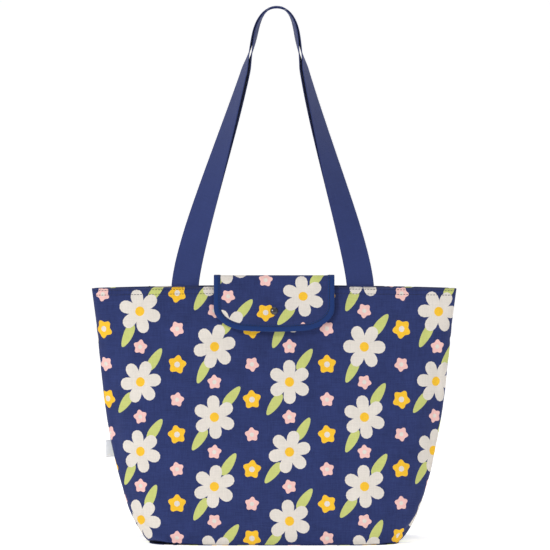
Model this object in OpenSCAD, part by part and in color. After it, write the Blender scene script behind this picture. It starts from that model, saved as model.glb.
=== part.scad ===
// Foldable tote bag: a boxed cloth bag with two webbing handles and a flap
// that snaps shut over its mouth.
// The front faces -Y, the bag stands on z = 0 and x = 0, y = 0 is the middle
// of its base. Millimetres and degrees.

/* [Bag] */
// Width of the mouth between the side seams
mouth_w = 430; // [400:5:460]
// Depth of the mouth between the two hems
mouth_d = 20; // [18:1:26]
// Width of the boxed base
base_w = 294; // [260:2:320]
// Depth of the boxed base
base_d = 140; // [110:5:150]
// Height of the side seams
body_h = 297; // [270:1:320]
// Rise of the rim between the side seams
rim_rise = 3; // [0:0.5:5]
// Extra fullness of the front and back halfway up
belly = 4; // [0:0.5:8]
// Thickness of the printed cloth
cloth_t = 1; // [0.8:0.1:1.2]
// Height of the turned hem inside the mouth
hem_h = 40; // [36:1:50]
// Thickness of the turned hem
hem_t = 0.6; // [0.5:0.1:0.8]

/* [Handles] */
// Width of the webbing
webbing_w = 32; // [25:1:34]
// Thickness of the webbing
webbing_t = 1.3; // [1:0.1:1.6]
// Distance from the middle of the bag to the middle of a handle's end
handle_x = 103; // [95:1:110]
// Height of the handles above the rim
handle_rise = 326; // [280:1:340]
// Half the width of a handle's top arch
arch_half_w = 25; // [18:1:28]
// Length of webbing sewn down inside the mouth
handle_sewn = 35; // [25:1:36]
// How far one handle lies inside the other at the top
nest_gap = 2.5; // [2.4:0.1:4]

/* [Flap] */
// Width of the flap over its binding
flap_w = 142; // [120:1:146]
// Length of the flap from its fold to its lower edge
flap_drop = 70; // [62:1:74]
// Lean of the closed flap from the vertical
flap_tilt = 21; // [19:1:23]
// Radius of the flap's lower corners
flap_r = 28; // [15:1:34]
// Thickness of the flap's cloth, print and lining together
flap_t = 1.1; // [0.9:0.1:1.3]
// Width of the binding as it shows on each side of the flap
binding_w = 8; // [6:0.5:9]
// Thickness of the binding across the flap's edge
binding_t = 2.2; // [1.8:0.1:2.4]
// Height of the fold above the base
fold_z = 314; // [310:1:318]
// How far the fold stands in front of the middle of the bag
fold_y = 12; // [10:0.5:14]

/* [Snap fastener] */
// Diameter of the cap, the socket and the two discs on the bag
snap_d = 9; // [8:0.5:12]
// Distance of the snap down the flap from its fold
snap_drop = 45; // [40:1:48]
// Diameter of the stud's head
stud_d = 3.8; // [3:0.1:4]
// Diameter of the socket's hollow
socket_d = 6; // [5.6:0.1:6.4]
// Height of the cap's dome
cap_h = 2.4; // [1.5:0.1:3]

/* [Care label] */
// Height of the label along the side seam
label_h = 20; // [15:1:25]
// How far the label stands out of the seam
label_out = 10; // [6:1:12]
// Height of the label's middle above the base
label_z = 110; // [90:1:130]

/* [Hidden] */

$fn = 48;

navy = [0.17, 0.22, 0.43];
webbing_navy = [0.20, 0.26, 0.49];
binding_blue = [0.11, 0.25, 0.56];
lining_navy = [0.14, 0.18, 0.36];
gunmetal = [0.35, 0.36, 0.38];
label_white = [0.93, 0.94, 0.95];

corner_flare = 30;       // how far the sides swell out just above the base
flare_h = 55;            // height over which most of that swelling happens
clear = 0.1;             // air between two layers that are sewn together
hem_clear = 0.3;         // air between the wall and its turned hem
seam_gap = 0.8;          // air between the front and the back along the side seams
base_t = 1.2;            // thickness of the base panel
fin_w = 8;               // width of a side seam's turned edges, inside the bag
fin_t = 1.6;             // thickness of those edges
fin_clear = 0.3;         // air between those edges and the wall
label_t = 0.4;
rim_clear = 2.6;         // height above the rim where the free part of a handle begins
crease = 1.8;            // bare cloth on each side of a fold that acts as a hinge
binding_crease = 3.4;    // the same for the thicker binding
binding_edge = 3;        // part of the binding that lies beyond the cloth
columns = 28;            // facets across a panel
rows = 16;               // facets up a panel
leg_rings = 22;          // rings along each leg of a handle
arch_rings = 8;          // rings along each half of its arch
leg_share = 0.85;        // part of a handle's parameter that its leg takes
arch_share = 0.1;        // part of a handle's height that its arch takes
twist_power = 1.35;      // how soon the webbing turns edge-on: higher is sooner
slit = 2.2;              // extra room between the handles just below their arches
slit_start = 0.6;        // where that room begins, as a share of the height

// ---- the body's surface ---------------------------------------------------

// Share of the corner flare reached at height z
function flared(z) = 1 - exp(-z / flare_h);

function half_width(z) =
    base_w / 2 + corner_flare * flared(z)
    + ((mouth_w - base_w) / 2 - corner_flare * flared(body_h)) * z / body_h;

function half_depth(z) =
    (mouth_d + (base_d - mouth_d) * (1 - pow(z / body_h, 2.2))) / 2 + belly * sin(180 * z / body_h);

// Exponent of the section at height z: nearly a box at the base, a soft lens at the mouth
function squareness(z) = 3 + 3 * pow(max(0, 1 - z / body_h), 2);

// Upward bow of the level line that meets the side seams at height z
function lift(x, z) = rim_rise * pow(z / body_h, 2) * (1 - pow(x / half_width(z), 2));

// Distance of the front's outer face from y = 0
function wall_y(x, z) =
    let (n = squareness(z))
    half_depth(z) * pow(1 - pow(x / half_width(z), n), 1 / n) + seam_gap / 2;

// Point of the front, inset inside its outer face, at angle a from the middle
function front_point(a, z, inset) =
    let (
        n = 2 / squareness(z),
        x = (half_width(z) - inset) * sign(a) * pow(abs(sin(a)), n),
        y = (half_depth(z) - inset) * pow(cos(a), n)
    )
    [x, -y - seam_gap / 2, z + lift(x, z)];

// ---- meshes ---------------------------------------------------------------

function quad(a, b, c, d) = [[a, b, c], [a, c, d]];

// Closed sheet between two grids of r by c points, the outer grid listed first
function sheet_faces(r, c) =
    let (m = r * c)
    concat(
        [for (i = [0:r - 2], j = [0:c - 2])
            let (k = i * c + j)
            for (f = quad(k, k + c, k + c + 1, k + 1)) f],
        [for (i = [0:r - 2], j = [0:c - 2])
            let (k = m + i * c + j)
            for (f = quad(k, k + 1, k + c + 1, k + c)) f],
        [for (j = [0:c - 2], f = quad(j, j + 1, m + j + 1, m + j)) f],
        [for (j = [0:c - 2], k = (r - 1) * c + j, f = quad(k, m + k, m + k + 1, k + 1)) f],
        [for (i = [0:r - 2], k = i * c, f = quad(k, m + k, m + k + c, k + c)) f],
        [for (i = [0:r - 2], k = i * c + c - 1, f = quad(k, k + c, m + k + c, m + k)) f]
    );

// Bar through a row of four-cornered rings
function bar_faces(rings) =
    concat(
        [for (i = [0:rings - 2], k = [0:3])
            let (a = 4 * i + k, b = 4 * i + (k + 1) % 4)
            for (f = quad(a, b, b + 4, a + 4)) f],
        quad(3, 2, 1, 0),
        [for (f = quad(0, 1, 2, 3)) [for (p = f) 4 * (rings - 1) + p]]
    );

module bar(rings) {
    polyhedron([for (r = rings, p = r) p], bar_faces(len(rings)));
}

// Layer of the front between heights z0 and z1, with its outer face at inset
module front_layer(z0, z1, inset, thickness, up) {
    heights = [for (i = [0:up]) z0 + (z1 - z0) * pow(i / up, 1.3)];
    angles = [for (j = [0:columns]) 90 - 180 * j / columns];
    outer = [for (z = heights, a = angles) front_point(a, z, inset)];
    inner = [for (z = heights, a = angles) front_point(a, z, inset + thickness)];
    polyhedron(concat(outer, inner), sheet_faces(up + 1, columns + 1));
}

// Flat-backed strip from x0 to x1 that follows [y, z] points of its face nearer the middle
module strip(x0, x1, path, thickness) {
    bar([for (p = path) [
        [x0, p[0], p[1]], [x1, p[0], p[1]], [x1, p[0] - thickness, p[1]], [x0, p[0] - thickness, p[1]]
    ]]);
}

// ---- body -----------------------------------------------------------------

module front_panel() {
    color(navy) front_layer(base_t + fin_clear, body_h, 0, cloth_t, rows);
}

module back_panel() {
    color(navy) mirror([0, 1, 0]) front_layer(base_t + fin_clear, body_h, 0, cloth_t, rows);
}

module hem_facing() {
    front_layer(body_h - hem_h, body_h - 0.5, cloth_t + hem_clear, hem_t, 4);
}

module front_hem_facing() {
    color(lining_navy) hem_facing();
}

module back_hem_facing() {
    color(lining_navy) mirror([0, 1, 0]) hem_facing();
}

module base_panel() {
    n = 2 / squareness(0);
    color(navy) linear_extrude(base_t) polygon([for (i = [0:71]) let (a = i * 5) [
        base_w / 2 * sign(cos(a)) * pow(abs(cos(a)), n),
        base_d / 2 * sign(sin(a)) * pow(abs(sin(a)), n)
    ]]);
}

// Turned edges of the right side seam, standing inward as a fin
module seam_fin() {
    low = 4;
    high = body_h - hem_h - 3;
    bar([for (i = [0:12])
        let (z = low + (high - low) * pow(i / 12, 1.5), x = half_width(z) - cloth_t - fin_clear)
        [[x - fin_w, -fin_t / 2, z], [x, -fin_t / 2, z], [x, fin_t / 2, z], [x - fin_w, fin_t / 2, z]]
    ]);
}

module right_seam_fin() {
    color(lining_navy) seam_fin();
}

module left_seam_fin() {
    color(lining_navy) mirror([1, 0, 0]) seam_fin();
}

module care_label() {
    low = label_z - label_h / 2;
    high = label_z + label_h / 2;
    out = half_width(label_z) + label_out;
    grip = cloth_t - clear;
    color(label_white) rotate([90, 0, 0]) translate([0, 0, -label_t / 2]) linear_extrude(label_t)
        polygon([[-out, low], [-out, high], [grip - half_width(high), high], [grip - half_width(low), low]]);
}

// ---- handles --------------------------------------------------------------

handle_edge = handle_x + webbing_w / 2;
webbing_inset = cloth_t + hem_clear + hem_t + clear;
// Distance of the webbing's middle from y = 0 where it leaves the rim
webbing_y = wall_y(handle_edge, body_h) - webbing_inset - webbing_t / 2;
rim_z = body_h + lift(handle_x, body_h);
loop_z = rim_z + rim_clear;

leg = [
    [handle_x, 0],
    [0.94 * handle_x, 0.185 * handle_rise],
    [arch_half_w + 16, 0.63 * handle_rise],
    [arch_half_w, (1 - arch_share) * handle_rise]
];

function bezier(p, t) =
    pow(1 - t, 3) * p[0] + 3 * pow(1 - t, 2) * t * p[1] + 3 * (1 - t) * t * t * p[2] + pow(t, 3) * p[3];

// Middle line of the two handles as [x, height above the rim]: s = 0 at an end, 1 at the top
function half_loop(s) =
    s < leg_share
        ? bezier(leg, s / leg_share)
        : let (a = 90 * (s - leg_share) / (1 - leg_share))
            [arch_half_w * cos(a), handle_rise * (1 - arch_share + arch_share * sin(a))];

// The same for the whole loop: u = -1 at the left end, 1 at the right end
function loop_point(u) =
    let (p = half_loop(1 - abs(u)))
    [(u < 0 ? -1 : 1) * p[0], p[1]];

function unit(v) = v / norm(v);

// Ring of the webbing at u, on the outer (side = 1) or inner (side = -1) handle
function webbing_ring(u, side) =
    let (
        step = 0.002,
        p = loop_point(u),
        t = unit(loop_point(u + step) - loop_point(u - step)),
        share = min(1, max(0, p[1] / handle_rise)),
        turn = 90 * (1 - pow(1 - share, twist_power)),
        face = [-t[1] * sin(turn), -cos(turn), t[0] * sin(turn)],
        across = [t[1] * cos(turn), -sin(turn), -t[0] * cos(turn)],
        room = share > slit_start ? slit * sin(180 * (share - slit_start) / (1 - slit_start)) : 0,
        nesting = (nest_gap + room) / 2 * pow(sin(turn), 2),
        c = [p[0], 0, loop_z + p[1]] + side * (nesting * face + [0, -webbing_y * cos(turn), 0]),
        w = across * webbing_w / 2,
        h = face * webbing_t / 2
    )
    [c - w - h, c + w - h, c + w + h, c - w + h];

rings_u = concat(
    [for (i = [0:leg_rings - 1]) leg_share * i / leg_rings - 1],
    [for (i = [-arch_rings:arch_rings]) (1 - leg_share) * i / arch_rings],
    [for (i = [leg_rings - 1:-1:0]) 1 - leg_share * i / leg_rings]
);

module front_handle() {
    color(webbing_navy) bar([for (u = rings_u) webbing_ring(u, 1)]);
}

module back_handle() {
    color(webbing_navy) bar([for (u = rings_u) webbing_ring(u, -1)]);
}

// The two ends of a handle, sewn down behind the front's turned hem
module handle_ends() {
    path = [for (i = [0:6])
        let (z = body_h - handle_sewn * (1 - i / 6))
        [webbing_t + webbing_inset - wall_y(handle_edge, z), z + lift(handle_edge, z)]
    ];
    top = [webbing_t / 2 - webbing_y, rim_z + 0.2];
    for (side = [-1, 1])
        translate([side * handle_x, 0, 0])
            strip(-webbing_w / 2, webbing_w / 2, concat(path, [top]), webbing_t);
}

module front_handle_ends() {
    color(webbing_navy) handle_ends();
}

module back_handle_ends() {
    color(webbing_navy) mirror([0, 1, 0]) handle_ends();
}

// ---- flap -----------------------------------------------------------------

flap_root_y = wall_y(0, body_h) + clear + flap_t / 2;
flap_root_z = body_h + rim_rise + 3;
neck_rise = atan2(fold_z - flap_root_z, fold_y + flap_root_y);
neck_len = norm([fold_z - flap_root_z, fold_y + flap_root_y]);
cloth_w = flap_w - 2 * binding_edge;
channel_t = flap_t + 0.1;

// Frame on the closed flap: y runs up it from the fold at 0, z points out of its front
module on_flap() {
    translate([0, -fold_y, fold_z]) rotate([90 - flap_tilt, 0, 0]) children();
}

// Frame on the neck: y runs forward from the hinge at the back hem, z points down
module on_neck() {
    translate([0, flap_root_y, flap_root_z]) rotate([180 - neck_rise, 0, 0]) children();
}

// End of the flap that is sewn to the outside of the back hem
module flap_root() {
    low = body_h - 24;
    path = [for (i = [0:5])
        let (z = low + (body_h - low) * i / 5)
        [-wall_y(0, z) - clear, z + lift(0, z)]
    ];
    top = [flap_t / 2 - flap_root_y, flap_root_z - crease];
    color(navy) mirror([0, 1, 0]) strip(-cloth_w / 2, cloth_w / 2, concat(path, [top]), flap_t);
}

module flap_neck() {
    color(navy) on_neck() translate([-cloth_w / 2, crease, -flap_t / 2])
        cube([cloth_w, neck_len - 2 * crease, flap_t]);
}

module flap_neck_binding() {
    length = neck_len - binding_crease - crease - 0.4;
    color(binding_blue) on_neck() for (side = [0, 1]) mirror([side, 0, 0])
        difference() {
            translate([flap_w / 2 - binding_w, binding_crease, -binding_t / 2])
                cube([binding_w, length, binding_t]);
            translate([0, 0, -channel_t / 2])
                cube([cloth_w / 2 + clear, neck_len, channel_t]);
        }
}

// Outline of the closed flap below its fold, drawn in from its edge by inset
module flap_outline(inset, top) {
    half = flap_w / 2 - inset;
    side = flap_w / 2 - flap_r;
    translate([-half, flap_r - flap_drop]) square([2 * half, flap_drop - flap_r - top]);
    translate([-side, inset - flap_drop]) square([2 * side, flap_r]);
    for (x = [-side, side])
        translate([x, flap_r - flap_drop]) circle(flap_r - inset);
}

module flap_panel() {
    color(navy) on_flap() translate([0, 0, 0.03]) linear_extrude(flap_t / 2 - 0.03)
        flap_outline(binding_edge, crease);
}

module flap_lining() {
    color(lining_navy) on_flap() translate([0, 0, -flap_t / 2]) linear_extrude(flap_t / 2 - 0.03)
        flap_outline(binding_edge, crease);
}

module flap_binding() {
    color(binding_blue) on_flap() difference() {
        translate([0, 0, -binding_t / 2]) linear_extrude(binding_t)
            difference() {
                flap_outline(0, crease + 0.4);
                flap_outline(binding_w, -1);
            }
        translate([0, 0, -channel_t / 2]) linear_extrude(channel_t)
            flap_outline(binding_edge - clear, -1);
    }
}

// ---- snap fastener --------------------------------------------------------

snap_z = fold_z - snap_drop * cos(flap_tilt);
// Distance from the middle of the flap's cloth to the front panel, along the snap
snap_reach = (fold_y + snap_drop * sin(flap_tilt) - wall_y(0, snap_z - rim_rise)) * cos(flap_tilt);
disc_t = 0.9;
shaft_d = 2.4;

// Frame on the snap's axis, with z out of the flap's front
module on_snap() {
    on_flap() translate([0, -snap_drop, 0]) children();
}

module dome(diameter, height) {
    r = (diameter * diameter / 4 + height * height) / (2 * height);
    intersection() {
        translate([0, 0, height - r]) sphere(r, $fn = 64);
        cylinder(h = height, d = diameter);
    }
}

module snap_cap() {
    color(gunmetal) on_snap() union() {
        translate([0, 0, flap_t / 2 + 0.05]) dome(snap_d, cap_h);
        translate([0, 0, -1]) cylinder(h = 2, d = shaft_d);
    }
}

module snap_socket() {
    depth = 2.3;
    color(gunmetal) on_snap() translate([0, 0, -flap_t / 2 - 0.05 - depth]) difference() {
        cylinder(h = depth, d = snap_d);
        translate([0, 0, -1]) cylinder(h = depth, d = socket_d);
    }
}

module snap_stud() {
    color(gunmetal) on_snap() translate([0, 0, -snap_reach]) union() {
        translate([0, 0, 0.1]) cylinder(h = disc_t, d = snap_d);
        cylinder(h = 2.6, d = stud_d);
        translate([0, 0, -3]) cylinder(h = 3.5, d = shaft_d);
    }
}

module snap_post() {
    color(gunmetal) on_snap() translate([0, 0, -snap_reach - 2.3 - disc_t]) cylinder(h = disc_t, d = snap_d);
}

back_panel();
base_panel();
back_hem_facing();
left_seam_fin();
right_seam_fin();
care_label();
back_handle_ends();
flap_root();
front_panel();
front_hem_facing();
front_handle_ends();
snap_stud();
snap_post();
flap_neck();
flap_neck_binding();
flap_panel();
flap_lining();
flap_binding();
snap_cap();
snap_socket();
front_handle();
back_handle();
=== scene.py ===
"""Foldable tote bag: the cloth, webbing, flap and snap, laid over the CAD frame.

Shapes are worked out in millimetres and written to the meshes in metres. The front faces -Y and the
bag stands on z = 0. A sheet of cloth is a grid of points in space, and everything on it is placed in
its flat cut coordinates: u across, v up.
"""

import math
import random

import bpy
import numpy as np
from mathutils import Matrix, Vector, noise
from mathutils.geometry import delaunay_2d_cdt


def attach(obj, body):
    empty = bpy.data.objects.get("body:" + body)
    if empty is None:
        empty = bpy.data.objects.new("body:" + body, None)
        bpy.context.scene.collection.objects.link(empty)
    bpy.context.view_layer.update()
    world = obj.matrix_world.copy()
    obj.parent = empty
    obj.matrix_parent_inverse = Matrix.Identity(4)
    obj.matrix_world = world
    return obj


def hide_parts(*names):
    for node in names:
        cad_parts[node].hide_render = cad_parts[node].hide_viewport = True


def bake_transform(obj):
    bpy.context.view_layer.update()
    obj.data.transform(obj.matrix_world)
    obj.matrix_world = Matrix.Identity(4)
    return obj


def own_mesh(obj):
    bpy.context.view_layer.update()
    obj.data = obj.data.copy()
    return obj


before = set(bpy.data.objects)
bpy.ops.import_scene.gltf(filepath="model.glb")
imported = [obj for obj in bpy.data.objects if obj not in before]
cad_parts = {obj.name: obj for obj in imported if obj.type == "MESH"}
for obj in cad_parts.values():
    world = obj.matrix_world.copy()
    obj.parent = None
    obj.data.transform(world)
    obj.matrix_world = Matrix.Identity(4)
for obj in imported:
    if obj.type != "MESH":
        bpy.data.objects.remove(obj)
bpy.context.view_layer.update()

MM = 0.001
SCENE = bpy.context.scene

# ---- sizes in millimetres, as in the CAD model --------------------------------------------------

MOUTH_W = 430.0
MOUTH_D = 20.0
BASE_W = 294.0
BASE_D = 140.0
BODY_H = 297.0
RIM_RISE = 3.0
BELLY = 4.0
CORNER_FLARE = 30.0
FLARE_H = 55.0
SEAM_GAP = 0.8

WEBBING_W = 32.0
WEBBING_T = 1.3
WEBBING_Y = 7.15  # from y = 0 to the middle of the webbing at the rim
HANDLE_X = 103.0
HANDLE_RISE = 326.0
ARCH_HALF_W = 25.0
RIM_CLEAR = 2.6  # from the rim to the start of a handle's free part
LOOP_Z = 301.9  # height of that start
LEG_SHARE = 0.85
ARCH_SHARE = 0.1
TWIST_POWER = 1.35

FLAP_HALF = 71.0
FLAP_DROP = 70.0
FLAP_LEAN = math.radians(21)
FOLD = (-12.0, 314.0)  # y and z of the fold's virtual corner
BACK_HINGE = (11.05, 303.0)
BINDING_W = 8.0
SNAP_DROP = 45.0
SNAP_REACH = 4.49

# ---- sizes in millimetres that are the visual's own ---------------------------------------------

CLOTH_T = 0.5  # one layer of the cloth, where the CAD model has 1
HEM_H = 38.0  # the CAD model's facing is 40 deep
HEM_R = 0.9  # half the thickness of the turned hem

NEST_GAP = 1.35  # the CAD model keeps 2.5, for its solid handles to swing apart
HANDLE_LEAN = 4.7  # how far the loop leans to the right from its feet to its top
HANDLE_SHIFT = -1.7  # the feet stand this little to the left
SLIT = 3.0  # extra room between the two handles below their arches
SLIT_START = 0.25  # where it begins, as a share of the height
OVERTURN = math.radians(11)  # how far the webbing turns past edge-on just below its arch
OVERTURN_START = 0.78  # where that begins

FLAP_R = 30.0  # height of its lower corners, which the CAD model rounds at a radius of 28
FLAP_CORNER_W = 40.0  # their width

LABEL_Z = 108.0  # 110 in the CAD model
LABEL_OUT = 12.0  # 10 in the CAD model

# ---- mesh helpers -------------------------------------------------------------------------------


def make(name, points, faces, materials, slots=None, uvs=None):
    """A smooth object from points in millimetres, with one cut coordinate in mm for each point."""
    mesh = bpy.data.meshes.new(name)
    mesh.from_pydata((np.asarray(points, dtype=float) * MM).tolist(), [], faces)
    for material in materials:
        mesh.materials.append(material)
    if slots is not None:
        mesh.polygons.foreach_set("material_index", slots)
    if uvs is not None:
        layer = mesh.uv_layers.new(name="cut")
        corners = np.empty(len(mesh.loops), dtype=np.int32)
        mesh.loops.foreach_get("vertex_index", corners)
        layer.data.foreach_set("uv", (np.asarray(uvs, dtype=float)[corners] * 0.01).ravel())
    mesh.polygons.foreach_set("use_smooth", [True] * len(mesh.polygons))
    mesh.update()
    obj = bpy.data.objects.new(name, mesh)
    SCENE.collection.objects.link(obj)
    return obj


def settle(obj):
    """Apply every modifier of obj."""
    graph = bpy.context.evaluated_depsgraph_get()
    mesh = bpy.data.meshes.new_from_object(
        obj.evaluated_get(graph), preserve_all_data_layers=True, depsgraph=graph
    )
    obj.modifiers.clear()
    obj.data = mesh
    return obj


def thicken(obj, thickness, slots):
    """Give a sheet its thickness, inward; the inner side takes the materials slots further on."""
    solid = obj.modifiers.new("thickness", "SOLIDIFY")
    solid.thickness = thickness * MM
    solid.offset = -1
    solid.material_offset = slots
    return settle(obj)


def strip_faces(rows, columns, closed):
    """Quads between rows of points; closed joins the last column to the first."""
    wrap = columns if closed else columns - 1
    faces = []
    for i in range(rows - 1):
        for j in range(wrap):
            k = (j + 1) % columns
            faces.append((i * columns + j, i * columns + k, (i + 1) * columns + k, (i + 1) * columns + j))
    return faces


# ---- sheets of cloth in space -------------------------------------------------------------------


def catmull(t):
    """Weights of the four neighbours in a smooth curve through a row of points."""
    return (
        (-(t**3) + 2 * t**2 - t) / 2,
        (3 * t**3 - 5 * t**2 + 2) / 2,
        (-3 * t**3 + 4 * t**2 + t) / 2,
        (t**3 - t**2) / 2,
    )


def sample(grid, row, col):
    """Smooth values of a grid at fractional rows and columns."""
    r0 = np.clip(np.floor(row).astype(int), 0, grid.shape[0] - 2)
    c0 = np.clip(np.floor(col).astype(int), 0, grid.shape[1] - 2)
    total = np.zeros((len(row), grid.shape[2]))
    for i, wr in enumerate(catmull(row - r0)):
        r = np.clip(r0 + i - 1, 0, grid.shape[0] - 1)
        for j, wc in enumerate(catmull(col - c0)):
            c = np.clip(c0 + j - 1, 0, grid.shape[1] - 1)
            total += (wr * wc)[:, None] * grid[r, c]
    return total


class Sheet:
    """A grid of points that a flat cut of cloth lies on: rows at heights v, each from -half to half."""

    def __init__(self, v, half, points):
        self.v = np.asarray(v, dtype=float)
        self.half = np.asarray(half, dtype=float)
        self.points = np.asarray(points, dtype=float)
        across = np.gradient(self.points, axis=1)
        up = np.gradient(self.points, axis=0)
        normals = np.cross(across, up)
        self.normals = normals / np.linalg.norm(normals, axis=2, keepdims=True)

    def at(self, u, v, lift=0.0):
        """Points at cut coordinates u, v, raised by lift off the outer face."""
        u, v, lift = np.broadcast_arrays(np.atleast_1d(u), np.atleast_1d(v), np.atleast_1d(lift))
        u, v, lift = u.astype(float), v.astype(float), lift.astype(float)
        row = np.interp(v, self.v, np.arange(len(self.v)))
        half = np.interp(v, self.v, self.half)
        col = (u / half + 1) / 2 * (self.points.shape[1] - 1)
        out = sample(self.normals, row, col)
        out /= np.linalg.norm(out, axis=1, keepdims=True)
        return sample(self.points, row, col) + out * lift[:, None]


def flared(z):
    """Share of the sides' swelling that is reached at height z."""
    return 1 - math.exp(-z / FLARE_H)


def half_width(z):
    """Half the bag's width at height z."""
    swell = CORNER_FLARE * flared(z)
    return BASE_W / 2 + swell + ((MOUTH_W - BASE_W) / 2 - CORNER_FLARE * flared(BODY_H)) * z / BODY_H


def half_depth(z):
    """Half the bag's depth at height z."""
    taper = MOUTH_D + (BASE_D - MOUTH_D) * (1 - (z / BODY_H) ** 2.2)
    return taper / 2 + BELLY * math.sin(math.pi * z / BODY_H)


def squareness(z):
    """Power of the superellipse at height z: higher is squarer."""
    return 3 + 3 * max(0.0, 1 - z / BODY_H) ** 2


def wall_y(x, z):
    """Distance from y = 0 to the wall at x, z."""
    n = squareness(z)
    return half_depth(z) * (1 - (abs(x) / half_width(z)) ** n) ** (1 / n) + SEAM_GAP / 2


def rim_lift(x, z):
    """How far the cloth rises towards the middle of the rim."""
    return RIM_RISE * (z / BODY_H) ** 2 * (1 - (x / half_width(z)) ** 2)


def wall_row(z, inset, raised, columns):
    """Evenly spaced points of the front at height z, from the left seam to the right one."""
    power = 2 / squareness(z)
    angles = np.linspace(-math.pi / 2, math.pi / 2, 721)
    x = (half_width(z) - inset) * np.sign(angles) * np.abs(np.sin(angles)) ** power
    y = -(half_depth(z) - inset) * np.maximum(0, np.cos(angles)) ** power - SEAM_GAP / 2
    length = np.concatenate([[0], np.cumsum(np.hypot(np.diff(x), np.diff(y)))])
    even = np.linspace(0, length[-1], columns)
    x = np.interp(even, length, x)
    y = np.interp(even, length, y)
    height = z + raised + RIM_RISE * (z / BODY_H) ** 2 * (1 - (x / half_width(z)) ** 2)
    return np.stack([x, y, height], axis=1), length[-1] / 2


def wall_sheet(columns=97, rows=70, turned_rows=8):
    """The front's cloth: up the wall, over the rim and down inside as the turned hem."""
    low = 1.5
    path = [(z, z, 0.0, 0.0) for z in np.linspace(low, BODY_H - HEM_R, rows)]
    for k in range(1, 8):
        turn = math.pi * k / 8
        v = BODY_H - HEM_R + HEM_R * turn
        path.append((v, BODY_H - HEM_R, HEM_R * (1 - math.cos(turn)), HEM_R * math.sin(turn)))
    over = BODY_H - HEM_R + HEM_R * math.pi
    for k in range(turned_rows):
        down = HEM_H * k / (turned_rows - 1)
        path.append((over + down, BODY_H - HEM_R - down, 2 * HEM_R, 0.0))
    made = [wall_row(z, inset, raised, columns) for _, z, inset, raised in path]
    return Sheet([p[0] for p in path], [m[1] for m in made], [m[0] for m in made])


def turned_round(sheet):
    """The same sheet on the other side of the bag."""
    return Sheet(sheet.v, sheet.half, sheet.points * np.array([-1, -1, 1]))


# ---- wrinkles -----------------------------------------------------------------------------------


def simulated(sheet, seed):
    """The wall after a short cloth simulation: held along its seams and hem, a little loose between them."""
    rows, columns = sheet.points.shape[:2]
    start = sheet.points.copy()
    free = (sheet.v < BODY_H - HEM_H - 6).astype(float)[:, None] * np.ones(columns)
    free[0, :] = 0
    free[:, 0] = 0
    free[:, -1] = 0
    nudge = np.zeros((rows, columns))
    for i in range(rows):
        for j in range(columns):
            place = Vector(start[i, j] * 0.02) + Vector((seed, 0, 0))
            nudge[i, j] = 1.2 * noise.noise(place)
    start += sheet.normals * (nudge * free)[:, :, None]
    obj = make("loose_cloth", start.reshape(-1, 3), strip_faces(rows, columns, False), [])
    pins = obj.vertex_groups.new(name="pins")
    held = [k for k, f in enumerate(free.ravel()) if f == 0]
    pins.add(held, 1.0, "REPLACE")
    cloth = obj.modifiers.new("drape", "CLOTH")
    settings = cloth.settings
    settings.quality = 6
    settings.mass = 0.2
    settings.tension_stiffness = 12
    settings.compression_stiffness = 12
    settings.shear_stiffness = 4
    settings.bending_stiffness = 0.4
    settings.shrink_min = -0.012
    settings.vertex_group_mass = "pins"
    settings.use_pressure = True
    settings.uniform_pressure_force = 0.1
    cloth.collision_settings.use_collision = False
    last = 24
    cloth.point_cache.frame_start = 1
    cloth.point_cache.frame_end = last
    for step in range(1, last + 1):
        SCENE.frame_set(step)
    graph = bpy.context.evaluated_depsgraph_get()
    draped = obj.evaluated_get(graph).data
    found = np.empty(len(draped.vertices) * 3)
    draped.vertices.foreach_get("co", found)
    found = found.reshape(rows, columns, 3) / MM
    SCENE.frame_set(1)
    bpy.data.objects.remove(obj)
    move = found - sheet.points
    size = np.linalg.norm(move, axis=2, keepdims=True)
    cap = 4.5
    move *= cap * np.tanh(size / cap) / np.maximum(size, 1e-6)
    return Sheet(sheet.v, sheet.half, sheet.points + move)


def relaxed(sheet, seed):
    """The sheet with its wrinkles, simulated."""
    return simulated(sheet, seed)


# ---- materials ----------------------------------------------------------------------------------


def add(nodes, kind, **inputs):
    """A new shader node with its inputs set."""
    node = nodes.new(kind)
    for name, value in inputs.items():
        node.inputs[name].default_value = value
    return node


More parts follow.
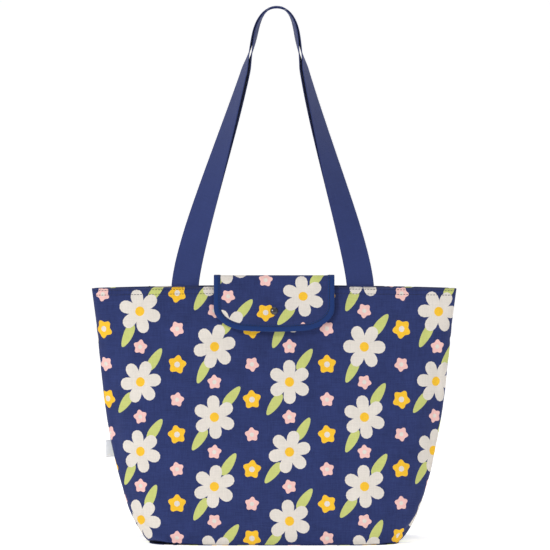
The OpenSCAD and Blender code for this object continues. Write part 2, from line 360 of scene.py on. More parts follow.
def woven(name, colour, pitch=0.7, mottle=0.12, bump=0.35, sheen=0.06, roughness=0.9, ribs=None):
    """Woven cloth: threads at a pitch in mm, mottled colour and a fine bump. ribs widens the weft."""
    material = bpy.data.materials.new(name)
    material.use_nodes = True
    nodes = material.node_tree.nodes
    links = material.node_tree.links
    shader = nodes["Principled BSDF"]
    shader.inputs["Roughness"].default_value = roughness
    shader.inputs["Sheen Weight"].default_value = sheen
    shader.inputs["Sheen Roughness"].default_value = 0.6
    shader.inputs["Specular IOR Level"].default_value = 0.15
    cut = nodes.new("ShaderNodeUVMap")
    cut.uv_map = "cut"

    per_unit = 2 * math.pi / 20 / 0.01
    warp = add(nodes, "ShaderNodeTexWave", Scale=per_unit / pitch, Distortion=1.2, Detail=1.0)
    weft = add(nodes, "ShaderNodeTexWave", Scale=per_unit / (ribs or pitch), Distortion=0.8, Detail=1.0)
    weft.bands_direction = "Y"
    threads = nodes.new("ShaderNodeMath")
    threads.operation = "MULTIPLY"
    fuzz = add(nodes, "ShaderNodeTexNoise", Scale=90.0, Detail=4.0, Roughness=0.7)
    patches = add(nodes, "ShaderNodeTexNoise", Scale=3.5, Detail=3.0, Roughness=0.55)
    for texture in (warp, weft, fuzz, patches):
        links.new(cut.outputs["UV"], texture.inputs["Vector"])
    slubs = []
    for stretch in ((6.0, 70.0, 1.0), (70.0, 6.0, 1.0)):
        squeeze = add(nodes, "ShaderNodeMapping", Scale=stretch)
        slub = add(nodes, "ShaderNodeTexNoise", Scale=1.0, Detail=2.0, Roughness=0.6)
        links.new(cut.outputs["UV"], squeeze.inputs["Vector"])
        links.new(squeeze.outputs["Vector"], slub.inputs["Vector"])
        slubs.append(slub)
    links.new(warp.outputs["Fac"], threads.inputs[0])
    links.new(weft.outputs["Fac"], threads.inputs[1])

    dark = [c * (1 - 1.6 * mottle) for c in colour]
    light = [min(1.0, c * (1 + 1.2 * mottle)) for c in colour]
    tint = nodes.new("ShaderNodeValToRGB")
    tint.color_ramp.elements[0].position = 0.38
    tint.color_ramp.elements[1].position = 0.62
    tint.color_ramp.elements[0].color = (*dark, 1)
    tint.color_ramp.elements[1].color = (*light, 1)
    both = nodes.new("ShaderNodeMath")
    both.operation = "MULTIPLY"
    both.inputs[1].default_value = 0.34
    links.new(fuzz.outputs["Fac"], both.inputs[0])
    for texture, weight in ((patches, 0.2), (slubs[0], 0.23), (slubs[1], 0.23)):
        more = nodes.new("ShaderNodeMath")
        more.operation = "MULTIPLY_ADD"
        more.inputs[1].default_value = weight
        links.new(texture.outputs["Fac"], more.inputs[0])
        links.new(both.outputs[0], more.inputs[2])
        both = more
    links.new(both.outputs[0], tint.inputs["Fac"])
    links.new(tint.outputs["Color"], shader.inputs["Base Color"])

    height = nodes.new("ShaderNodeMath")
    height.operation = "MULTIPLY_ADD"
    height.inputs[1].default_value = 0.5
    links.new(fuzz.outputs["Fac"], height.inputs[0])
    links.new(threads.outputs[0], height.inputs[2])
    relief = add(nodes, "ShaderNodeBump", Strength=bump, Distance=0.0004)
    links.new(height.outputs[0], relief.inputs["Height"])
    links.new(relief.outputs["Normal"], shader.inputs["Normal"])
    return material


def plated(name, colour, roughness):
    """Polished metal plating with faint uneven wear."""
    material = bpy.data.materials.new(name)
    material.use_nodes = True
    nodes = material.node_tree.nodes
    links = material.node_tree.links
    shader = nodes["Principled BSDF"]
    shader.inputs["Base Color"].default_value = (*colour, 1)
    shader.inputs["Metallic"].default_value = 1.0
    place = nodes.new("ShaderNodeTexCoord")
    wear = add(nodes, "ShaderNodeTexNoise", Scale=900.0, Detail=3.0)
    links.new(place.outputs["Object"], wear.inputs["Vector"])
    spread = nodes.new("ShaderNodeMapRange")
    spread.inputs["To Min"].default_value = roughness * 0.7
    spread.inputs["To Max"].default_value = roughness * 1.4
    links.new(wear.outputs["Fac"], spread.inputs["Value"])
    links.new(spread.outputs["Result"], shader.inputs["Roughness"])
    return material


NAVY = (0.026, 0.040, 0.146)
INKS = {
    "ground": NAVY,
    "cream": (0.77, 0.715, 0.65),
    "yellow": (0.97, 0.55, 0.035),
    "pink": (0.90, 0.56, 0.52),
    "green": (0.58, 0.62, 0.20),
}
INK_NAMES = list(INKS)
printed = []
for name, ink in INKS.items():
    printed.append(woven("print_" + name, ink, mottle=0.2 if name == "ground" else 0.07))
inner_cloth = woven("lining_cloth", (0.022, 0.032, 0.105), mottle=0.1)
cloth_materials = printed + [inner_cloth] * len(printed)
webbing = woven(
    "webbing", (0.024, 0.039, 0.150), pitch=1.5, mottle=0.08, bump=0.5, sheen=0.1, roughness=0.75, ribs=0.9
)
bias_tape = woven("bias_tape", (0.007, 0.033, 0.155), pitch=0.4, mottle=0.06, bump=0.2, roughness=0.6)
thread = woven("thread", (0.011, 0.015, 0.050), pitch=0.3, mottle=0.1, sheen=0.1, roughness=0.6)
ribbon = woven("label_ribbon", (0.86, 0.88, 0.90), pitch=0.5, mottle=0.03, sheen=0.1, roughness=0.55)
gunmetal = plated("gunmetal", (0.10, 0.10, 0.11), 0.22)

# ---- the print: a plain floral on a half-drop grid, laid out by rule ------------------------------

CELL_W = 88.0  # from one column of daisies to the next
CELL_H = 80.0  # from one daisy to the next in its column; every second column is shifted by half of it
LEAF_WAYS = (57, 237)  # degrees, the two free directions between a daisy and the small flowers


def turned(points, angle, x, y):
    """Points turned about 0, 0 and then moved to x, y."""
    c, s = math.cos(angle), math.sin(angle)
    return [(x + c * p - s * q, y + s * p + c * q) for p, q in points]


def petal(x, y, length, width, angle):
    """Outline of one rounded petal with its foot at x, y."""
    points = []
    for k in range(16):
        a = 2 * math.pi * k / 16
        share = 0.5 + 0.5 * math.cos(a)
        points.append((length * share, width / 2 * math.sin(a) * (0.5 + 0.75 * share)))
    return turned(points, angle, x, y)


def lobed(x, y, radius, lobes=1, depth=0.0, angle=0.0):
    """Outline of a disc, with shallow lobes if depth isn't 0."""
    points = []
    count = max(14, 6 * lobes)
    for k in range(count):
        a = 2 * math.pi * k / count
        r = radius * (1 - depth + depth * math.cos(lobes * a))
        points.append((r * math.cos(a), r * math.sin(a)))
    return turned(points, angle, x, y)


def leaf(x, y, length, width, angle):
    """Outline of a leaf, blunt at its foot and pointed at its tip."""
    points = []
    for k in range(18):
        a = 2 * math.pi * k / 18
        taper = 0.75 - 0.25 * math.cos(a)
        points.append((length / 2 * math.cos(a), width / 2 * math.sin(a) * (taper + 0.25)))
    return turned(points, angle, x, y)


def daisy(x, y, angle, radius=25.0):
    """A large flower of six equal petals."""
    drawn = []
    for k in range(6):
        drawn.append(("cream", petal(x, y, radius, 0.62 * radius, angle + math.radians(60 * k))))
    drawn.append(("yellow", lobed(x, y, 0.22 * radius)))
    return drawn


def small_flower(ink, x, y, angle, radius):
    """A small flower of five shallow lobes."""
    return [(ink, lobed(x, y, radius, 5, 0.14, angle)), ("cream", lobed(x, y, 0.3 * radius))]


def print_cell(x, y, dice):
    """One repeat of the print: a daisy with two leaves, and three small flowers beside it."""
    angle = dice.uniform(0, 2 * math.pi)
    drawn = []
    for way in LEAF_WAYS:
        lean = math.radians(way + dice.uniform(-8, 8))
        p, q = turned([(31, 0)], lean, x, y)[0]
        drawn.append(("green", leaf(p, q, 30, 11, lean)))
    drawn += daisy(x, y, angle)
    drawn += small_flower("yellow", x + CELL_W / 2, y + CELL_H / 4, angle, 11.0)
    drawn += small_flower("pink", x + CELL_W / 2, y - CELL_H / 4, angle, 8.5)
    drawn += small_flower("pink", x, y + CELL_H / 2, angle, 8.5)
    return drawn


def floral(du=0.0, dv=0.0):
    """The print over more than the largest panel, with one of its daisies at du, dv."""
    dice = random.Random(7)
    drawn = []
    for column in range(-4, 5):
        for row in range(-4, 6):
            drop = 0.5 if column % 2 else 0.0
            drawn += print_cell(du + column * CELL_W, dv + (row + drop) * CELL_H, dice)
    return drawn


def in_view(outline, low, high):
    """Whether an outline reaches into the box from low to high."""
    us = [p[0] for p in outline]
    vs = [p[1] for p in outline]
    return max(us) > low[0] and min(us) < high[0] and max(vs) > low[1] and min(vs) < high[1]


def print_on(name, sheet, outline, motifs, spacing=4.0, lift=0.0):
    """Cloth cut to outline and printed with motifs, laid on a sheet. Later motifs lie over earlier ones."""
    low = np.min(outline, axis=0)
    high = np.max(outline, axis=0)
    shown = [m for m in motifs if in_view(m[1], low, high)]
    points = []
    faces = []
    for shape in [outline] + [m[1] for m in shown]:
        faces.append(list(range(len(points), len(points) + len(shape))))
        points += [tuple(p) for p in shape]
    across = int((high[0] - low[0]) / spacing)
    up = int((high[1] - low[1]) / spacing)
    for i in range(1, up):
        for j in range(1, across):
            shift = 0.5 if i % 2 else 0.0
            points.append((low[0] + (j + shift) * spacing, low[1] + i * spacing))
    found, _, cells, _, _, origins = delaunay_2d_cdt([Vector(p) for p in points], [], faces, 1, 1e-4)
    kept = []
    slots = []
    for cell, origin in zip(cells, origins):
        if 0 not in origin:
            continue
        top = max(origin)
        kept.append(tuple(cell))
        slots.append(INK_NAMES.index(shown[top - 1][0]) if top else 0)
    used = sorted({k for cell in kept for k in cell})
    renumber = {k: i for i, k in enumerate(used)}
    flat = np.array([tuple(found[k]) for k in used])
    kept = [tuple(renumber[k] for k in cell) for cell in kept]
    placed = sheet.at(flat[:, 0], flat[:, 1], lift)
    obj = make(name, placed, kept, cloth_materials, slots, flat)
    return thicken(obj, CLOTH_T, len(printed))


# ---- strips and threads -------------------------------------------------------------------------


def swept(name, sheet, profile, low, high, step, material):
    """A closed strip with a profile of [u, lift] points, along a sheet from v = low to high."""
    count = max(2, int((high - low) / step) + 1)
    heights = np.linspace(low, high, count)
    points = np.concatenate([sheet.at([p[0] for p in profile], v, [p[1] for p in profile]) for v in heights])
    uvs = [(p[0] + 40 * (p[1] < 0), v) for v in heights for p in profile]
    n = len(profile)
    faces = strip_faces(count, n, True)
    faces.append(tuple(range(n))[::-1])
    faces.append(tuple((count - 1) * n + k for k in range(n)))
    return make(name, points, faces, [material], None, uvs)


def edging(name, sheet, path, profile, material):
    """A closed strip along an edge of the cut, with a profile of [distance inward, lift] points."""
    path = np.asarray(path, dtype=float)
    along = np.gradient(path, axis=0)
    inward = np.stack([-along[:, 1], along[:, 0]], axis=1)
    inward /= np.linalg.norm(inward, axis=1, keepdims=True)
    run = np.concatenate([[0], np.cumsum(np.linalg.norm(np.diff(path, axis=0), axis=1))])
    points = []
    uvs = []
    for p, n, s in zip(path, inward, run):
        for inset, lift in profile:
            points.append(sheet.at(p[0] + n[0] * inset, p[1] + n[1] * inset, lift)[0])
            uvs.append((s, inset + 20 * (lift < -1)))
    n = len(profile)
    faces = strip_faces(len(path), n, True)
    faces.append(tuple(range(n))[::-1])
    faces.append(tuple((len(path) - 1) * n + k for k in range(n)))
    return make(name, points, faces, [material], None, uvs)


def stitches(name, sheet, lines, lift, length=2.6, gap=0.9, radius=0.3):
    """Machine stitches along lines drawn on a sheet, as one piece."""
    points = []
    faces = []
    uvs = []
    ring = [(math.cos(a), math.sin(a)) for a in np.linspace(0, 2 * math.pi, 6, endpoint=False)]
    shape = ((-0.5, 0.25), (-0.34, 1.0), (0.34, 1.0), (0.5, 0.25))
    for line in lines:
        line = np.asarray(line, dtype=float)
        run = np.concatenate([[0], np.cumsum(np.linalg.norm(np.diff(line, axis=0), axis=1))])
        count = int(run[-1] / (length + gap))
        for k in range(count):
            middle = (k + 0.5) * run[-1] / count
            place = middle + length * np.array([s[0] for s in shape])
            cut = np.stack([np.interp(place, run, line[:, 0]), np.interp(place, run, line[:, 1])], axis=1)
            on = sheet.at(cut[:, 0], cut[:, 1], lift)
            above = sheet.at(cut[:, 0], cut[:, 1], lift + 1)
            along = on[-1] - on[0]
            along /= np.linalg.norm(along)
            first = len(points)
            for p, q, (_, wide) in zip(on, above, shape):
                up = q - p
                side = np.cross(along, up)
                for c, s in ring:
                    points.append(p + radius * wide * (c * side + s * up))
                    uvs.append((middle, 2 * s))
            faces += [tuple(first + k for k in f) for f in strip_faces(4, 6, True)]
            faces.append(tuple(first + k for k in range(5, -1, -1)))
            faces.append(tuple(first + 18 + k for k in range(6)))
    return make(name, points, faces, [thread], None, uvs)


def flat_band(half, thick, count=28):
    """Cross-section of webbing: flat, with soft edges."""
    points = []
    for k in range(count):
        a = 2 * math.pi * k / count
        c, s = math.cos(a), math.sin(a)
        points.append((
            half * math.copysign(abs(c) ** 0.3, c),
            thick / 2 * math.copysign(abs(s) ** 0.6, s),
        ))
    return points


def lathe(name, rings, origin, axis, material, turns=40):
    """A round piece from [radius, height] rings about an axis."""
    side = Vector((1, 0, 0))
    other = axis.cross(side)
    points = []
    uvs = []
    for radius, height in rings:
        for k in range(turns):
            a = 2 * math.pi * k / turns
            p = origin + axis * height + (side * math.cos(a) + other * math.sin(a)) * radius
            points.append(tuple(p))
            uvs.append((a * radius, height))
    faces = strip_faces(len(rings), turns, True)
    faces.append(tuple(range(turns))[::-1])
    faces.append(tuple((len(rings) - 1) * turns + k for k in range(turns)))
    return make(name, points, faces, [material], None, uvs)


# ---- the body -----------------------------------------------------------------------------------


def flatten(piece):
    """The piece gets a mesh of its own."""
    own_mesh(piece)


def on_half(piece, side):
    """The piece rides on its half of the bag."""
    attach(piece, "front_half" if side < 0 else "back_half")
    flatten(piece)
    return piece


def wall_outline(sheet):
    """The flat cut of a wall: its side edges follow the girth."""
    right = list(zip(sheet.half, sheet.v))
    return right + [(-u, v) for u, v in right[::-1]]


def hem_lines(sheet, below_rim):
    """One row of stitching, this far below the rim."""
    v = BODY_H - below_rim
    half = float(np.interp(v, sheet.v, sheet.half)) - 3
    return [[(u, v) for u in np.linspace(-half, half, 60)]]


def body_wall(side):
    """One wall of the bag with its turned hem and two rows of stitches."""
    name = "front" if side < 0 else "back"
    plain = wall_sheet() if side < 0 else turned_round(wall_sheet())
    sheet = relaxed(plain, 3.0 + side)
    motifs = floral(18.0, 30.0) if side < 0 else floral(40.0, 12.0)
    cloth = on_half(print_on(f"{name}_cloth", sheet, wall_outline(sheet), motifs), side)
    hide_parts(f"{name}_panel", f"{name}_hem_facing")
    for number, below in enumerate((3.0, 8.0), 1):
        row = on_half(stitches(f"{name}_hem_stitches_{number}", sheet, hem_lines(sheet, below), 0.06), side)
    return sheet


def base_cloth():
    """The panel that the bag stands on."""
    columns = 41
    n = 6.0
    half = BASE_D / 2
    rows = np.linspace(-half, half, 41)
    points = [[(u, -v, 0.1) for u in np.linspace(-BASE_W / 2, BASE_W / 2, columns)] for v in rows]
    sheet = Sheet(rows, [BASE_W / 2] * 41, points)
    outline = []
    for k in range(72):
        a = 2 * math.pi * k / 72
        c, s = math.cos(a), math.sin(a)
        outline.append((
            BASE_W / 2 * math.copysign(abs(c) ** (2 / n), c),
            half * math.copysign(abs(s) ** (2 / n), s),
        ))
    piece = on_half(print_on("base_cloth", sheet, outline, floral(-20.0, 10.0), 6.0), 1)
    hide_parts("base_panel")


def seam_fin(side):
    """The side seam's turned edges, inside the bag, with an overlocked edge."""
    low, high = 4.0, BODY_H - HEM_H - 4
    heights = np.linspace(low, high, 48)
    points = []
    for z in heights:
        x = half_width(z) - 1.5
        points.append([(side * (x - 7.5 * t), 0.25 * math.sin(z / 14), z) for t in (1.0, 0.67, 0.33, 0.0)])
    sheet = Sheet(heights, [3.75] * 48, points)
    name = "right" if side > 0 else "left"
    fin = swept(f"{name}_seam_edges", sheet, flat_band(3.75, 1.2, 14), low, high, 4.0, inner_cloth)
    on_half(fin, 1)
    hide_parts(f"{name}_seam_fin")
    zigzag = [(-3.4 + 5.2 * (k % 2), low + 1 + k * 1.9) for k in range(int((high - low - 2) / 1.9))]
    overlock = on_half(stitches(f"{name}_seam_overlock", sheet, [zigzag], 0.66, 4.6, 1.0, 0.22), 1)


def care_label():
    """A blank folded ribbon in the left side seam."""
    heights = np.linspace(LABEL_Z - 10, LABEL_Z + 10, 9)
    points = []
    for z in heights:
        root = -half_width(z) + 0.8
        tip = -half_width(LABEL_Z) - LABEL_OUT
        points.append([
            (root + (tip - root) * t, -1.2 * math.sin(2.2 * t) + 0.02 * (z - LABEL_Z) * t, z - 1.0 * t * t)
            for t in np.linspace(1, 0, 7)
        ])
    sheet = Sheet(heights, [6.5] * 9, points)
    label = swept("care_ribbon", sheet, flat_band(6.5, 0.5, 20), heights[0], heights[-1], 2.5, ribbon)
    on_half(label, 1)
    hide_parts("care_label")


# ---- handles ------------------------------------------------------------------------------------

LEG = [
    (HANDLE_X, 0.0),
    (0.94 * HANDLE_X, 0.185 * HANDLE_RISE),
    (ARCH_HALF_W + 16, 0.63 * HANDLE_RISE),
    (ARCH_HALF_W, (1 - ARCH_SHARE) * HANDLE_RISE),
]
ARCH = [
    (ARCH_HALF_W, (1 - ARCH_SHARE) * HANDLE_RISE),
    (ARCH_HALF_W - 3.5, 0.955 * HANDLE_RISE),
    (0.62 * ARCH_HALF_W, HANDLE_RISE),
    (0.0, HANDLE_RISE),
]


def bezier(p, t):
    """A cubic curve, its first point at t = 0."""
    a, b, c, d = (1 - t) ** 3, 3 * (1 - t) ** 2 * t, 3 * (1 - t) * t * t, t**3
    return (
        a * p[0][0] + b * p[1][0] + c * p[2][0] + d * p[3][0],
        a * p[0][1] + b * p[1][1] + c * p[2][1] + d * p[3][1],
    )


def loop_point(u):
    """Middle line of the handles as x and height above the rim: u = -1 at the left end, 1 at the right."""
    s = 1 - abs(u)
    if s < LEG_SHARE:
        x, h = bezier(LEG, s / LEG_SHARE)
    else:
        x, h = bezier(ARCH, (s - LEG_SHARE) / (1 - LEG_SHARE))
    return math.copysign(x, u) + HANDLE_SHIFT + HANDLE_LEAN * (h / HANDLE_RISE) ** 2, h


def webbing_row(u, side):
    """Points across the webbing at u, on the outer (side = 1) or inner (side = -1) handle."""
    x, h = loop_point(u)
    before, after = loop_point(u - 0.002), loop_point(u + 0.002)
    along = Vector((after[0] - before[0], after[1] - before[1])).normalized()
    share = min(1.0, max(0.0, h / HANDLE_RISE))
    turn = math.pi / 2 * (1 - (1 - share) ** TWIST_POWER)
    if share > OVERTURN_START:
        turn += OVERTURN * math.sin(math.pi * (share - OVERTURN_START) / (1 - OVERTURN_START))
    face = Vector((-along.y * math.sin(turn), -math.cos(turn), along.x * math.sin(turn)))
    across = Vector((along.y * math.cos(turn), -math.sin(turn), -along.x * math.cos(turn)))
    room = SLIT * math.sin(math.pi * (share - SLIT_START) / (1 - SLIT_START)) if share > SLIT_START else 0.0
    nesting = (NEST_GAP + room) / 2 * math.sin(turn) ** 2
    middle = Vector((x, -side * WEBBING_Y * math.cos(turn), LOOP_Z + h)) + face * (side * nesting)
    return [tuple(middle - across * (WEBBING_W / 2 * t)) for t in (-1, -0.5, 0, 0.5, 1)]


def handle(side):
    """One loop of webbing; the front handle (side = 1) lies outside the back one."""
    name = "front" if side > 0 else "back"
    us = np.linspace(-1, 1, 201)
    rows = np.array([webbing_row(u, side) for u in us])
    down = RIM_CLEAR * (rows[0] - rows[1]) / np.linalg.norm(rows[0, 2] - rows[1, 2])
    rows = np.concatenate([[rows[0] + down], rows, [rows[-1] + down * [-1, 1, 1]]])
    run = np.concatenate([[0], np.cumsum(np.linalg.norm(np.diff(rows[:, 2], axis=0), axis=1))])
    sheet = Sheet(run, [WEBBING_W / 2] * len(run), rows)
    loop = swept(f"{name}_webbing", sheet, flat_band(WEBBING_W / 2, WEBBING_T), 0, run[-1], 4.0, webbing)
    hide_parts(f"{name}_handle")
    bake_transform(loop)


def handle_ends(side):
    """The sewn ends of a handle inside the hem, with their box of stitches."""
    name = "front" if side > 0 else "back"
    for end in (-1, 1):
        x0 = end * HANDLE_X + HANDLE_SHIFT
        heights = np.linspace(BODY_H - 34, BODY_H + 1.6, 14)
        points = []
        for z in heights:
            level = min(z, BODY_H)
            edge = wall_y(HANDLE_X + WEBBING_W / 2, level) - 2.0 - WEBBING_T / 2
            y = -side * edge
            top = z + rim_lift(x0, BODY_H)
            points.append([(x0 + side * WEBBING_W / 2 * t, y, top) for t in (-1, -0.5, 0, 0.5, 1)])
        sheet = Sheet(heights, [WEBBING_W / 2] * 14, points)
        where = "left" if end < 0 else "right"
        strap = swept(
            f"{name}_sewn_end_{where}", sheet, flat_band(WEBBING_W / 2, WEBBING_T),
            heights[0], heights[-1], 4.0, webbing,
        )
        on_half(strap, -side)
        low, high, w = BODY_H - 31, BODY_H - 9, 12.5
        box = [(-w, low), (w, low), (w, high), (-w, high), (-w, low)]
        cross = [[(-w, low), (w, high)], [(-w, high), (w, low)]]
        sewn = stitches(f"{name}_box_stitches_{where}", sheet, [box] + cross, -WEBBING_T / 2 - 0.05)
        on_half(sewn, -side)
    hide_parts(f"{name}_handle_ends")


# ---- flap ---------------------------------------------------------------------------------------


def filleted(corners, radii, step=0.8):
    """A path of [y, z] points through corners, rounded by the radii at all but the two ends."""
    path = [Vector(corners[0])]
    for before, corner, after, radius in zip(corners, corners[1:], corners[2:], radii):
        corner = Vector(corner)
        back = (Vector(before) - corner).normalized()
        on = (Vector(after) - corner).normalized()
        half = back.angle(on) / 2
        reach = radius / math.tan(half)
        centre = corner + (back + on).normalized() * (radius / math.sin(half))
        start = corner + back * reach - centre
        sweep = start.angle_signed(corner + on * reach - centre)
        for k in range(9):
            a = -sweep * k / 8
            c, s = math.cos(a), math.sin(a)
            path.append(centre + Vector((c * start.x - s * start.y, s * start.x + c * start.y)))
    path.append(Vector(corners[-1]))
    dense = [path[0]]
    for p in path[1:]:
        pieces = max(1, int((p - dense[-1]).length / step / 3))
        begin = dense[-1]
        dense += [begin.lerp(p, (k + 1) / pieces) for k in range(pieces)]
    return dense


def flap_sheet():
    """The flap's whole strip, from its lower edge up over the fold and the neck to the back hem."""
    foot = (FOLD[0] - FLAP_DROP * math.sin(FLAP_LEAN), FOLD[1] - FLAP_DROP * math.cos(FLAP_LEAN))
    root_low = (wall_y(0, BODY_H - 24) + 0.65, BODY_H - 24 + RIM_RISE)
    root_high = (BACK_HINGE[0], BODY_H + RIM_RISE)
    path = filleted([foot, FOLD, BACK_HINGE, root_high, root_low], [4.0, 2.6, 8.0])
    run = [0.0]
    for p, q in zip(path, path[1:]):
        run.append(run[-1] + (q - p).length)
    fold_at = min(range(len(path)), key=lambda k: (path[k] - Vector(FOLD)).length)
    v = [r - run[fold_at] for r in run]
    points = []
    for p, height in zip(path, v):
        row = []
        down = max(0.0, -height / FLAP_DROP)
        for t in np.linspace(-1, 1, 17):
            sides = 2.6 * down**2 * (0.35 + 0.65 * t * t + 0.5 * t)
            middle = math.sin(math.pi * min(1, down)) * (1 - t * t)
            curl = sides - middle
            row.append((FLAP_HALF * t, p.x - curl, p.y))
        points.append(row)
    return Sheet(v, [FLAP_HALF] * len(v), points)


def flap_edge(low, high, inset=0.0):
    """The flap's edge below v = high, from its left side round the lower corners to the right side."""
    half = FLAP_HALF - inset
    foot = low + inset
    side = FLAP_HALF - FLAP_CORNER_W
    left = [(-half, v) for v in np.linspace(high, low + FLAP_R, 24)]
    for k in range(1, 15):
        a = math.pi + math.pi / 2 * k / 14
        u = -side + (FLAP_CORNER_W - inset) * math.cos(a)
        left.append((u, low + FLAP_R + (FLAP_R - inset) * math.sin(a)))
    middle = [(u, foot - 1.4 * (1 - (u / side) ** 2)) for u in np.linspace(-side, side, 12)[1:-1]]
    return left + middle + [(-u, v) for u, v in left[::-1]]


def build_flap():
    """The flap's cloth, lining, binding and stitches, its hinge and its sewn root."""
    sheet = flap_sheet()
    low = -FLAP_DROP + 2.0
    root_v = float(sheet.v[-1])
    hinge_v = math.dist(FOLD, BACK_HINGE)
    neck_end = hinge_v - 6.5
    hinge_end = hinge_v + 4.0
    cloth_half = FLAP_HALF - 2.5

    def bent(piece, slot, *nodes):
        """Cloth on the neck and the flap's front, which folds between them."""
        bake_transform(piece)
        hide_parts(*nodes)
        return piece

    motifs = floral(34.0, -26.0)
    outline = flap_edge(low, neck_end, 2.5)
    cloth = print_on("flap_cloth", sheet, outline, motifs, 4.0, 0.5)
    bent(cloth, "printed_cloth", "flap_panel", "flap_neck")
    lining = print_on("flap_lining_cloth", sheet, outline, [], 4.0, -0.05)
    for k in range(len(lining.data.materials)):
        lining.data.materials[k] = inner_cloth
    bent(lining, "lining_cloth", "flap_lining")

    tape = [(BINDING_W, 0.62), (BINDING_W - 0.3, 0.95), (2.0, 1.1), (0.5, 0.85), (0.0, 0.0)]
    tape += [(0.5, -0.85), (2.0, -1.1), (BINDING_W - 0.3, -0.95), (BINDING_W, -0.62), (BINDING_W - 1, -0.6)]
    tape += [(2.4, -0.6), (2.4, 0.6), (BINDING_W - 1, 0.6)]
    edge = flap_edge(low, neck_end)
    tape_piece = edging("flap_tape", sheet, edge, tape, bias_tape)
    binding = bent(tape_piece, "binding", "flap_binding", "flap_neck_binding")
    seam = flap_edge(low, neck_end, BINDING_W - 1.6)
    outer = bent(stitches("flap_tape_stitches", sheet, [seam], 1.0, 2.8, 0.6, 0.42), "binding")
    inner = bent(stitches("flap_lining_stitches", sheet, [seam], -1.0), "binding")

    def crosswise(name, v0, v1, shown):
        """A strip of the same cloth across the whole flap."""
        box = [(-cloth_half, v0), (cloth_half, v0), (cloth_half, v1), (-cloth_half, v1)]
        return print_on(name, sheet, box, shown, 4.0, 0.5)

    hinge = crosswise("flap_hinge_cloth", neck_end, hinge_end, motifs)
    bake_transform(hinge)
    root = on_half(crosswise("flap_root_cloth", hinge_end, root_v, motifs), 1)
    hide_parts("flap_root")
    w = cloth_half - 4
    rows = [[(-w, v), (w, v)] for v in (hinge_end + 4, root_v - 5)]
    sewn = on_half(stitches("flap_root_stitches", sheet, rows, 0.6), 1)


# ---- snap ---------------------------------------------------------------------------------------


def build_snap():
    """Cap and socket on the flap, stud and its rivet disc on the bag."""
    axis = Vector((0, -math.cos(FLAP_LEAN), math.sin(FLAP_LEAN)))
    place = Vector((
        0,
        FOLD[0] - SNAP_DROP * math.sin(FLAP_LEAN),
        FOLD[1] - SNAP_DROP * math.cos(FLAP_LEAN),
    ))
    foot = place - axis * SNAP_REACH

    dome = [(0.01, -0.2), (4.1, -0.1), (4.5, 0.15), (4.5, 0.45), (4.25, 0.7), (3.95, 0.8)]
    dome += [(3.9 * math.cos(a), 0.8 + 1.6 * math.sin(a)) for a in np.linspace(0.1, 1.5, 9)]
    cap = lathe("snap_dome", dome, place + axis * 0.55, axis, gunmetal)
    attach(cap, "flap_front")
    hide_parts("snap_cap")

    cup = [(1.2, -1.2), (3.0, -1.3), (3.0, -2.5), (3.1, -2.9), (3.6, -2.9)]
    cup += [(4.1, -2.6), (4.5, -1.8), (4.5, -0.9), (4.2, -0.6), (1.2, -0.6)]
    socket = lathe("snap_cup", cup, place, axis, gunmetal)
    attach(socket, "flap_front")
    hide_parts("snap_socket")

    ball = [(4.4, 0.1), (4.5, 0.5), (4.0, 0.95), (2.2, 1.0), (1.5, 1.3)]
    ball += [(1.5, 1.9), (1.9, 2.2), (1.8, 2.5), (0.9, 2.7)]
    stud = on_half(lathe("snap_ball", ball, foot, axis, gunmetal), -1)
    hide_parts("snap_stud")

    disc = [(4.3, -3.2), (4.5, -3.0), (4.5, -2.5), (4.1, -2.3), (1.6, -2.3), (1.2, -2.8)]
    post = on_half(lathe("snap_disc", disc, foot, axis, gunmetal), -1)
    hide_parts("snap_post")


# ---- light, floor and camera --------------------------------------------------------------------


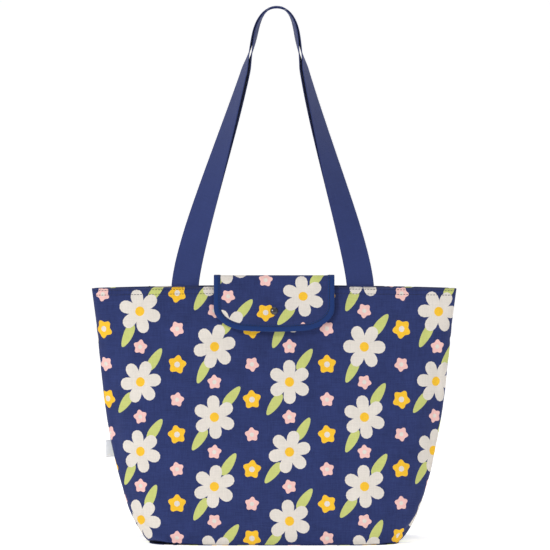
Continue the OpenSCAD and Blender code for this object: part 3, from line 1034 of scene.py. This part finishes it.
def studio():
    """White floor, white backdrop and three soft lights."""
    floor = bpy.data.meshes.new("floor")
    reach = 60.0
    floor.from_pydata(
        [(-reach, -reach, 0), (reach, -reach, 0), (reach, reach, 0), (-reach, reach, 0)], [], [(0, 1, 2, 3)]
    )
    material = bpy.data.materials.new("floor")
    material.use_nodes = True
    shader = material.node_tree.nodes["Principled BSDF"]
    shader.inputs["Base Color"].default_value = (0.9, 0.9, 0.9, 1)
    shader.inputs["Roughness"].default_value = 0.9
    shader.inputs["Emission Color"].default_value = (1, 1, 1, 1)
    shader.inputs["Emission Strength"].default_value = 0.56
    floor.materials.append(material)
    plane = bpy.data.objects.new("floor", floor)
    SCENE.collection.objects.link(plane)

    world = bpy.data.worlds.new("studio")
    world.use_nodes = True
    nodes = world.node_tree.nodes
    links = world.node_tree.links
    glow = nodes["Background"]
    glow.inputs["Color"].default_value = (1, 1, 1, 1)
    glow.inputs["Strength"].default_value = 0.5
    backdrop = add(nodes, "ShaderNodeBackground", Color=(1, 1, 1, 1), Strength=1.0)
    rays = nodes.new("ShaderNodeLightPath")
    pick = nodes.new("ShaderNodeMixShader")
    links.new(rays.outputs["Is Camera Ray"], pick.inputs["Fac"])
    links.new(glow.outputs["Background"], pick.inputs[1])
    links.new(backdrop.outputs["Background"], pick.inputs[2])
    links.new(pick.outputs["Shader"], nodes["World Output"].inputs["Surface"])
    SCENE.world = world
    for name, place, size, energy in (
        ("key", (-1.7, -2.1, 2.1), 0.8, 32),
        ("fill", (1.9, -2.2, 1.2), 2.0, 2),
        ("top", (0.2, 0.5, 2.6), 1.6, 16),
    ):
        light = bpy.data.lights.new(name, "AREA")
        light.size = size
        light.energy = energy
        lamp = bpy.data.objects.new(name, light)
        lamp.location = place
        lamp.rotation_euler = (Vector((0, 0, 0.25)) - Vector(place)).to_track_quat("-Z", "Y").to_euler()
        SCENE.collection.objects.link(lamp)
    SCENE.view_settings.view_transform = "Standard"


def camera():
    """A long lens in front of the bag, a little above it."""
    away = 7.0
    rise = math.radians(4)
    aim = Vector((0.001, 0, 0.3125))
    view = 0.648  # width of the view at the bag, in metres
    lens = bpy.data.cameras.new("camera")
    lens.sensor_width = 36
    lens.lens = 36 * away / view
    cam = bpy.data.objects.new("camera", lens)
    cam.location = aim + Vector((0, -away * math.cos(rise), away * math.sin(rise)))
    cam.rotation_euler = (aim - cam.location).to_track_quat("-Z", "Y").to_euler()
    SCENE.collection.objects.link(cam)
    SCENE.camera = cam


studio()
camera()
body_wall(-1)
body_wall(1)
base_cloth()
for s in (-1, 1):
    seam_fin(s)
    handle(s)
    handle_ends(s)
care_label()
build_flap()
build_snap()
